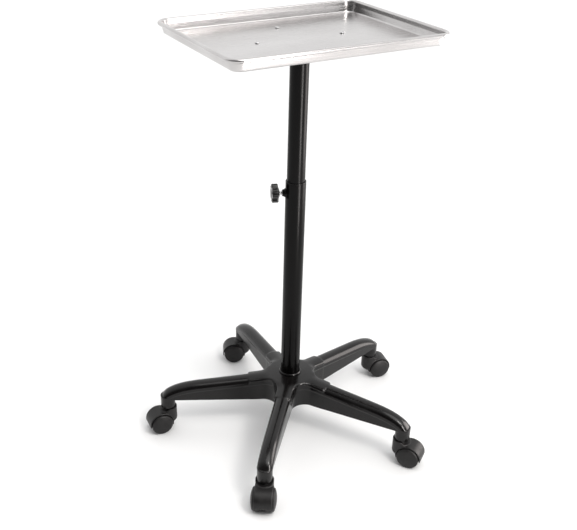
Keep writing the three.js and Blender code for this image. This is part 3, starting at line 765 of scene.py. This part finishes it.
def makeStarBase():
    low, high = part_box("star_base")
    swivel = Vector(joints["swivel_front"]["pos_m"]) - mastAxis
    circle = swivel.xy.length
    firstArm = math.atan2(swivel.y, swivel.x)
    step = 2 * math.pi / base["arms"]
    armEnd = circle + base["boss"]
    webX = base["webReach"] * math.cos(step / 2)
    webY = base["webReach"] * math.sin(step / 2)
    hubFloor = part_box("lower_tube")[0].z - 0.0003
    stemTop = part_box("caster_front_stem")[1].z + 0.0015

    def crest(out):
        t = np.clip((out - base["bowFrom"]) / (armEnd - base["bowFrom"]), 0, 0.998)
        straight = base["crest"] + base["crestSlope"] * (out - 0.066)
        return straight - base["bowDrop"] * (1 - np.sqrt(1 - t ** 2.6))

    def baseShape(x, y, z):
        r = np.hypot(x, y)
        turn = (np.arctan2(y, x) - firstArm + step / 2) % step - step / 2
        out = r * np.cos(turn)
        side = np.abs(r * np.sin(turn))
        fromSpine = np.hypot(np.maximum(out - circle, 0), side)
        skirt = base["skirt"] + base["skirtSlope"] * np.maximum(r - 0.08, 0)
        top = crest(out)
        shoulder = np.maximum(top - base["capDepth"], skirt + 0.001)
        depth = np.maximum(top - shoulder, 0.002)
        lipLine = np.maximum(top - base["capDepth"] - 0.001, skirt + base["endLip"])
        width = base["armHalfWidth"] - 0.001 * np.clip(out / circle, 0, 1)
        up = np.maximum(z - shoulder, 0) / depth
        arm = (((fromSpine / width) ** 2.2 + up ** 2.2) ** (1 / 2.2) - 1) * np.minimum(width, depth * 1.2)
        arm = np.maximum(arm, -out)

        hubTop = high.z - 0.0002 - np.interp(r, *zip(*base["hubFall"]))
        hubTop = hubTop - base["hubCrown"] * side ** 2 * smoothStep(out, base["crownFrom"], base["crownTo"])
        fromWeb = base["webRadius"] - np.hypot(out - webX, side - webY)
        fromWeb = np.where(out > webX, side - (webY - base["webRadius"]), fromWeb)
        fromWeb = fromWeb + base["webLip"] * (1 - smoothStep(z, hubTop - 0.0070, hubTop - 0.0055))
        hub = smoothMax(z - hubTop, fromWeb, 0.0045)
        hub = smoothMax(hub, r - base["hubEdge"], 0.0025)
        outer = smoothMin(arm, hub, 0.002)
        plain = outer
        outer = outer + base["lip"] * (1 - smoothStep(z, lipLine - 0.0009, lipLine))
        outer = smoothMax(outer, skirt - z, 0.0016)

        shell = smoothMax(outer, -(plain + base["wall"]), 0.001)
        inside = np.maximum(outer, skirt + 0.003 - z)
        ribs = np.minimum(np.abs(out - base["innerRib"]), np.abs(out - base["outerRib"])) - base["rib"] / 2
        spoke = np.maximum(r * np.sin(step / 2 - np.abs(turn)) - base["rib"] / 2, r - base["hubEdge"])
        core = r - base["core"]
        bossWall = np.hypot(out - circle, side) - base["boss"]
        bossWall = np.where(out > circle - base["boss"], bossWall, fromSpine - base["boss"] + 1)
        filling = np.minimum(np.minimum(ribs, spoke), np.minimum(core, bossWall))
        filling = np.maximum(filling, outer + 0.0018)
        whole = smoothMin(shell, np.maximum(filling, inside), 0.0015)

        post = np.hypot(out - circle, side) - base["boss"] + 0.0004
        post = smoothMax(post, low.z - z, 0.0014)
        post = np.maximum(post, z - skirt - 0.006)
        whole = smoothMin(whole, post, 0.0016)

        whole = smoothMax(whole, -np.maximum(r - base["mastBore"], hubFloor - z), 0.001)
        whole = smoothMax(whole, base["boltHole"] - r, 0.0008)
        stem = np.maximum(np.hypot(out - circle, side) - base["stemBore"], z - stemTop)
        return smoothMax(whole, -stem, 0.0008)

    reach = armEnd + 0.004
    lowCorner = (-reach, -reach, low.z - 0.003)
    highCorner = (reach, reach, high.z + 0.003)
    mesh = moulded("starBase", baseShape, lowCorner, highCorner, base["cell"])
    star = newObject("starBase", mesh, blackNylon, Matrix.Translation(mastAxis))
    settle(star, "base", "black_nylon", "star_base")


makeStarBase()
print("star base made")


# Casters. Each is made about its swivel axis, with +X the way it trails.

caster = dict(
    wheelRadius=0.025, wheelDome=0.0281, wheelShoulder=0.0224,
    hoodRadius=0.0287, hoodClear=0.026, hoodHalfWidth=0.020, web=0.0055,
    cup=0.0198, cupBore=0.0179, cupFloor=0.0545, chin=0.020, rimDrop=0.0069,
    stemHole=0.0058, tipHole=0.0041, axleHole=0.0034,
    axleRadius=0.003, axleHalf=0.0214, wheelInner=0.0062,
    hoodCell=0.0007,
)


def makeHoodMesh(trail, axleHeight):
    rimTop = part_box("caster_front_hood")[1].z

    def hoodShape(x, y, z):
        fromAxle = np.hypot(x - trail, z - axleHeight)
        across = np.abs(y)
        fender = fromAxle - caster["hoodRadius"]
        lowEdge = (0.018 + 0.063 * (x - 0.014)) - z
        fender = smoothMax(fender, lowEdge, 0.0012)
        fender = smoothMax(fender, across - caster["hoodHalfWidth"], 0.0026)

        belly = caster["cup"] - 0.0063 * np.clip((0.030 - z) / 0.010, 0, 1.1) ** 2
        rim = rimTop - caster["rimDrop"] * smoothStep(x, 0.002, 0.012)
        cup = smoothMax(np.hypot(x, y) - belly, caster["chin"] - z, 0.003)
        cup = smoothMax(cup, z - rim, 0.0016)
        hood = smoothMin(cup, fender, 0.0024)

        well = np.maximum(fromAxle - caster["hoodClear"], caster["web"] - across)
        hood = smoothMax(hood, -well, 0.0014)
        bore = np.maximum(np.hypot(x, y) - caster["cupBore"], caster["cupFloor"] - z)
        hood = smoothMax(hood, -bore, 0.0008)
        stem = np.minimum(
            np.maximum(np.hypot(x, y) - caster["stemHole"], 0.0447 - z),
            np.maximum(np.hypot(x, y) - caster["tipHole"], 0.0297 - z),
        )
        hood = smoothMax(hood, -stem, 0.0004)
        axleBore = np.maximum(fromAxle - caster["axleHole"], across - 0.010)
        return smoothMax(hood, -axleBore, 0.0004)

    low = (-0.0215, -0.0215, 0.011)
    high = (trail + caster["hoodRadius"] + 0.0015, 0.0215, rimTop + 0.0015)
    return moulded("casterHood", hoodShape, low, high, caster["hoodCell"])


def makeWheelMesh(inner):
    radius = caster["wheelRadius"]
    shoulder = caster["wheelShoulder"]
    dome = caster["wheelDome"]
    corners = [
        (0, inner + 0.0157, 0), (0.0034, inner + 0.0157, 0), (0.0034, inner, 0), (0.0062, inner, 0.0003),
        (0.0066, inner + 0.0012, 0.0003), (0.0212, inner + 0.0012, 0.0006), (0.0218, inner, 0.0004),
        (radius, inner, 0.001), (radius, shoulder, 0.0008), (radius - 0.0009, shoulder + 0.0010, 0.0005),
        (radius - 0.0028, shoulder + 0.0021, 0.003),
    ]
    profile = [tuple(point) for point in filleted(corners + [(0.014, dome - 0.0012, 0)], 5)][:-1]
    edge = profile[-1]
    for k in range(1, 13):
        r = edge[0] * (1 - k / 12)
        profile.append((r, dome - (dome - edge[1]) * (r / edge[0]) ** 2.2))
    return lathed("casterWheel", profile, 72, axis="Y", sharpAngle=40)


def makeStemMesh(bottom, top):
    profile = [
        (0, bottom, 0), (0.0038, bottom, 0.0006), (0.0038, 0.045, 0),
        (0.0055, 0.045, 0), (0.0055, 0.0551, 0),
        (0.0085, 0.0551, 0.0004), (0.0085, 0.0603, 0.0004), (0.0055, 0.0603, 0), (0.0055, 0.0885, 0),
        (0.0044, 0.0885, 0), (0.0044, 0.0929, 0), (0.0055, 0.0929, 0), (0.0040, top, 0.0008), (0, top, 0),
    ]
    return lathed("casterStem", [tuple(point) for point in filleted(profile, 3)], 40)


def makeCasters():
    swivel = Vector(joints["swivel_front"]["pos_m"])
    axle = Vector(joints["spin_front_left"]["pos_m"])
    trail = (axle - swivel).xy.length
    hoodMesh = makeHoodMesh(trail, axle.z)
    wheelMesh = makeWheelMesh(caster["wheelInner"])
    stemLow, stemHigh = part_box("caster_front_stem")
    stemMesh = makeStemMesh(stemLow.z, stemHigh.z)
    half = caster["axleHalf"]
    bar = caster["axleRadius"]
    axleProfile = filleted([(0, -half, 0), (bar, -half, 0.0005), (bar, half, 0.0005), (0, half, 0)], 3)
    axleMesh = lathed("casterAxle", [tuple(point) for point in axleProfile], 32, axis="Y")
    for name in casterNames:
        swivel = Vector((*joints["swivel_" + name]["pos_m"][:2], 0))
        axle = Vector(joints["spin_" + name + "_left"]["pos_m"])
        heading = math.atan2(axle.y - swivel.y, axle.x - swivel.x)
        turn = Matrix.Rotation(heading, 4, "Z")
        place = Matrix.Translation(swivel) @ turn
        node = "caster_" + name
        hood = newObject("casterHood_" + name, hoodMesh, casterNylon, place)
        settle(hood, node, "caster_nylon", node + "_hood")
        stem = newObject("casterStem_" + name, stemMesh, zincPlate, place)
        settle(stem, "base", "zinc_steel", node + "_stem")
        axlePlace = Matrix.Translation(axle) @ turn
        axlePin = newObject("casterAxle_" + name, axleMesh, zincPlate, axlePlace)
        settle(axlePin, node, "zinc_steel", node + "_axle")
        for side, flip in [("left", 0), ("right", math.pi)]:
            wheelPlace = axlePlace @ Matrix.Rotation(flip, 4, "Z")
            wheel = newObject("casterWheel_" + name + "_" + side, wheelMesh, casterNylon, wheelPlace)
            settle(wheel, "wheel_" + name + "_" + side, "caster_nylon", node + "_wheel_" + side)
        frame["nodes"][node + "_grip_ring"].data.materials[0] = zincPlate


makeCasters()
print("casters made")


# Floor, light and surroundings

studio = dict(
    floorSize=14, floorColor=(0.93, 0.93, 0.93),
    backdrop=1.15, front=0.07,  # brightness behind the cart and on the near side
    towardsBack=(0.46, 0.80, 0.38), darkUpTo=-0.45, brightFrom=0.35,
    seen=1.12,  # what the view itself sees past the floor
)


def makeFloor():
    work = bmesh.new()
    bmesh.ops.create_grid(work, x_segments=2, y_segments=2, size=studio["floorSize"])
    floor = newObject("floor", finishMesh("floor", work), floorPaper())


def floorPaper():
    finish = Finish("floorPaper", studio["floorColor"], 0.9, specular=0.1)
    cloud = finish.noise(3, 2, 0.5)
    color = studio["floorColor"]
    finish.tint(cloud, tuple(0.99 * c for c in color), color)
    return finish.material


def makeSurroundings():
    world = bpy.data.worlds.new("studio")
    bpy.context.scene.world = world
    world.use_nodes = True
    tree = world.node_tree
    background = tree.nodes["Background"]
    background.inputs["Color"].default_value = (1, 1, 1, 1)
    place = tree.nodes.new("ShaderNodeTexCoord")
    toBack = tree.nodes.new("ShaderNodeVectorMath")
    toBack.operation = "DOT_PRODUCT"
    toBack.inputs[1].default_value = studio["towardsBack"]
    tree.links.new(place.outputs["Generated"], toBack.inputs[0])
    ramp = tree.nodes.new("ShaderNodeMapRange")
    ramp.inputs["From Min"].default_value = studio["darkUpTo"]
    ramp.inputs["From Max"].default_value = studio["brightFrom"]
    ramp.inputs["To Min"].default_value = studio["front"]
    ramp.inputs["To Max"].default_value = studio["backdrop"]
    tree.links.new(toBack.outputs["Value"], ramp.inputs["Value"])
    seen = tree.nodes.new("ShaderNodeLightPath")
    choose = tree.nodes.new("ShaderNodeMix")
    choose.inputs["B"].default_value = studio["seen"]
    tree.links.new(seen.outputs["Is Camera Ray"], choose.inputs["Factor"])
    tree.links.new(ramp.outputs["Result"], choose.inputs["A"])
    tree.links.new(choose.outputs["Result"], background.inputs["Strength"])


def broadLight(name, azimuth, elevation, spread, strength, color):
    # An even light from one side of the sky, for the open floor and its soft shadows
    data = bpy.data.lights.new(name, "SUN")
    data.angle = math.radians(spread)
    data.energy = strength
    data.color = color
    light = bpy.data.objects.new(name, data)
    light.rotation_euler = (0, math.radians(90 - elevation), math.radians(azimuth))
    bpy.context.scene.collection.objects.link(light)


def softbox(name, place, aim, size, power, color=(1, 1, 1), glossOnly=False):
    data = bpy.data.lights.new(name, "AREA")
    data.shape = "RECTANGLE"
    data.size, data.size_y = size
    data.energy = power
    data.color = color
    light = bpy.data.objects.new(name, data)
    light.location = place
    light.visible_diffuse = not glossOnly
    light.rotation_euler = (Vector(aim) - Vector(place)).to_track_quat("-Z", "Y").to_euler()
    bpy.context.scene.collection.objects.link(light)


makeFloor()
makeSurroundings()
broadLight("skyLight", -70, 66, 45, 1.15, (1, 0.99, 0.98))
softbox("keyLight", (0.45, -1.8, 2.5), (0, 0, 0.3), (0.6, 0.6), 22, (1, 0.97, 0.94))
softbox("stripLight", (0.30, -1.42, 0.62), (0, 0, 0.62), (0.30, 1.2), 24, (1, 0.95, 0.93), glossOnly=True)
softbox("edgeLight", (1.6, -0.6, 0.6), (0, 0, 0.6), (0.9, 1.2), 22, (1, 0.93, 0.90), glossOnly=True)
softbox("wallLight", (1.06, -1.7, 1.2), (0, 0.1, 0.95), (0.9, 0.5), 2.2, (1, 1, 1), glossOnly=True)
bpy.context.scene.view_settings.view_transform = "Standard"
print("studio made")
